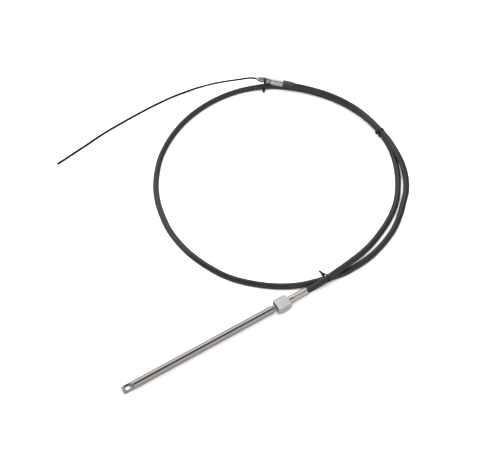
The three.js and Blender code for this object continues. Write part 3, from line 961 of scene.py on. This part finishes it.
tie = {
    "width": 4.8, "thickness": 1.2, "headAlong": 6, "headOut": 5, "headWidth": 7, "sink": 0.5,
    "slot": (1.2, 3.8), "slotHalfWidth": 2.6, "headEdge": 0.0007, "tailEdge": 0.0003,
    "tailThickness": 1.2, "toothPitch": 0.95, "toothHeight": 0.28, "toothWidth": 3.4, "steps": 96,
    "finish": {"dust": 90, "stretch": (1, 1, 1), "grain": 2200, "bump": 0.12, "gloss": 0.45,
               "dark": (0.008, 0.008, 0.009, 1), "light": (0.019, 0.019, 0.021, 1),
               "roughLow": 0.33, "roughHigh": 0.46},
    "places": {
        "tie_output": {"at": (103.75, -254.2), "turn": 86, "headOn": 1, "headAngle": 20,
                       "tailTurn": -49, "tailLength": 16,
                       "circles": [(-1.31, 21.49, 6.25, 0.9), (4.45, 8.53, 6.25, 0.7)]},
        "tie_side": {"at": (418.75, -9.6), "turn": 176, "headOn": 0, "headAngle": 0,
                     "tailTurn": -60, "tailLength": 4,
                     "circles": [(2.64, 21.49, 6.25, 0.5), (-2.24, 8.17, 6.25, 0.6)]},
        "tie_helm": {"at": (277.5, 252.98), "turn": 231, "headOn": 1, "headAngle": -6,
                     "tailTurn": 4, "tailLength": 7.5,
                     "circles": [(0, 22.4, 5.3, 0.5), (6.66, 8.63, 6.25, 1.1)]},
    },
}


def tiePoint(place, across, up, wide):  # across and up in the strap's plane, wide along the cable
    turn = math.radians(place["turn"])
    x, y = across, -wide
    return Vector(((place["at"][0] + x * math.cos(turn) - y * math.sin(turn)) * mm,
                   (place["at"][1] + x * math.sin(turn) + y * math.cos(turn)) * mm, up * mm))


def strapPoint(place, angle, out):
    c, s = math.cos(angle), math.sin(angle)
    # a taut strap touches whichever circle reaches farthest in this direction
    across, up, radius, gap = max(place["circles"], key=lambda k: k[0] * c + k[1] * s + k[2] + k[3])
    return across + (radius + gap + out) * c, up + (radius + gap + out) * s


def buildStrap(name, place):
    w, t = tie["width"] / 2, tie["thickness"]
    section = [(0.02, -w + 0.3), (0.3, -w), (t - 0.4, -w), (t, -w + 0.4),
               (t, w - 0.4), (t - 0.4, w), (0.3, w), (0.02, w - 0.3)]
    verts, faces = [], []
    for i in range(tie["steps"]):
        angle = 2 * math.pi * i / tie["steps"]
        for out, wide in section:
            across, up = strapPoint(place, angle, out)
            verts.append(tiePoint(place, across, up, wide))
    n = len(section)
    for i in range(tie["steps"]):
        k = (i + 1) % tie["steps"]
        for j in range(n):
            m = (j + 1) % n
            faces.append((i * n + j, i * n + m, k * n + m, k * n + j))
    return meshObject(name + "_strap", verts, faces, 50)


def blockInTie(name, place, frameOf, corners, edge):
    verts = [tiePoint(place, *frameOf(out, along), wide) for out, along, wide in corners]
    obj = meshObject(name, verts, boxFaces)
    if edge:
        softenEdges(obj, edge)
    return obj


def boxCorners(out, along, wide):
    return [(x, y, z) for x in out for y in along for z in wide]


def headFrame(place, extraTurn=0.0, pivot=0.0):  # the head's own directions, out and along
    across, up, radius, gap = place["circles"][place["headOn"]]
    angle = math.radians(place["headAngle"])
    turn = angle + math.radians(extraTurn)
    seat = radius + gap + tie["thickness"] - tie["sink"] + pivot

    def frameOf(out, along):
        return (across + seat * math.cos(angle) + out * math.cos(turn) - along * math.sin(turn),
                up + seat * math.sin(angle) + out * math.sin(turn) + along * math.cos(turn))
    return frameOf


def joinObjects(objs, name):
    verts, faces = [], []
    for obj in objs:
        start = len(verts)
        verts += [v.co.copy() for v in obj.data.vertices]
        faces += [tuple(start + i for i in p.vertices) for p in obj.data.polygons]
        removeObject(obj)
    return meshObject(name, verts, faces, 50)


def toothTree():
    tree = bpy.data.node_groups.new("strapTeeth", "GeometryNodeTree")
    face = tree.interface
    face.new_socket("Geometry", in_out="INPUT", socket_type="NodeSocketGeometry")
    face.new_socket("Geometry", in_out="OUTPUT", socket_type="NodeSocketGeometry")
    face.new_socket("Pitch", in_out="INPUT", socket_type="NodeSocketFloat")
    face.new_socket("Tooth", in_out="INPUT", socket_type="NodeSocketVector")
    face.new_socket("Material", in_out="INPUT", socket_type="NodeSocketMaterial")
    nodes, links = tree.nodes, tree.links
    given, result = nodes.new("NodeGroupInput"), nodes.new("NodeGroupOutput")
    points = nodes.new("GeometryNodeCurveToPoints")
    points.mode = "LENGTH"
    links.new(given.outputs["Geometry"], points.inputs["Curve"])
    links.new(given.outputs["Pitch"], points.inputs["Length"])
    tooth = nodes.new("GeometryNodeMeshCube")
    links.new(given.outputs["Tooth"], tooth.inputs["Size"])
    place = nodes.new("GeometryNodeInstanceOnPoints")
    links.new(points.outputs["Points"], place.inputs["Points"])
    links.new(tooth.outputs["Mesh"], place.inputs["Instance"])
    links.new(points.outputs["Rotation"], place.inputs["Rotation"])
    real = nodes.new("GeometryNodeRealizeInstances")
    links.new(place.outputs["Instances"], real.inputs["Geometry"])
    coat = nodes.new("GeometryNodeSetMaterial")
    links.new(real.outputs["Geometry"], coat.inputs["Geometry"])
    links.new(given.outputs["Material"], coat.inputs["Material"])
    links.new(coat.outputs["Geometry"], result.inputs["Geometry"])
    return tree


def buildTie(name, place, teeth, material):
    strap = buildStrap(name, place)
    seat = headFrame(place)
    depth, half, wide = tie["headOut"], tie["headAlong"] / 2, tie["headWidth"] / 2
    head = blockInTie(name + "_head", place, seat,
                      boxCorners((0, depth), (-half, half), (-wide, wide)), tie["headEdge"])
    wide = tie["slotHalfWidth"]
    slot = blockInTie(name + "_slot", place, seat,
                      boxCorners(tie["slot"], (-half - 1, half + 1), (-wide, wide)), 0)
    cutAway(head, slot)
    tailFrame = headFrame(place, place["tailTurn"], depth / 2)
    thick, wide = tie["tailThickness"] / 2, tie["width"] / 2
    tail = blockInTie(name + "_tail", place, tailFrame,
                      boxCorners((-1.5, place["tailLength"]), (-thick, thick), (-wide, wide)),
                      tie["tailEdge"])
    line = [tiePoint(place, *tailFrame(out, thick), 0) for out in (0.5, place["tailLength"] - 0.8)]
    lineObj = curveObject(name + "_line", line)
    toothSize = (tie["toothPitch"] * 0.5 * mm, 2 * tie["toothHeight"] * mm, tie["toothWidth"] * mm)
    grown = growOn(lineObj, teeth, {"Pitch": tie["toothPitch"] * mm, "Tooth": toothSize,
                                    "Material": material})
    bpy.data.objects.remove(lineObj)
    teethObj = addObject(name + "_teeth", grown)
    obj = joinObjects([strap, head, tail, teethObj], name + "_body")
    obj.data.materials.append(material)
    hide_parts(name)
    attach(obj, "cable")
    return obj


tieMaterial = plasticMaterial("tie nylon", tie["finish"])
teeth = toothTree()
tieObjs = [buildTie(name, place, teeth, tieMaterial) for name, place in tie["places"].items()]
print("ties")


print("done")
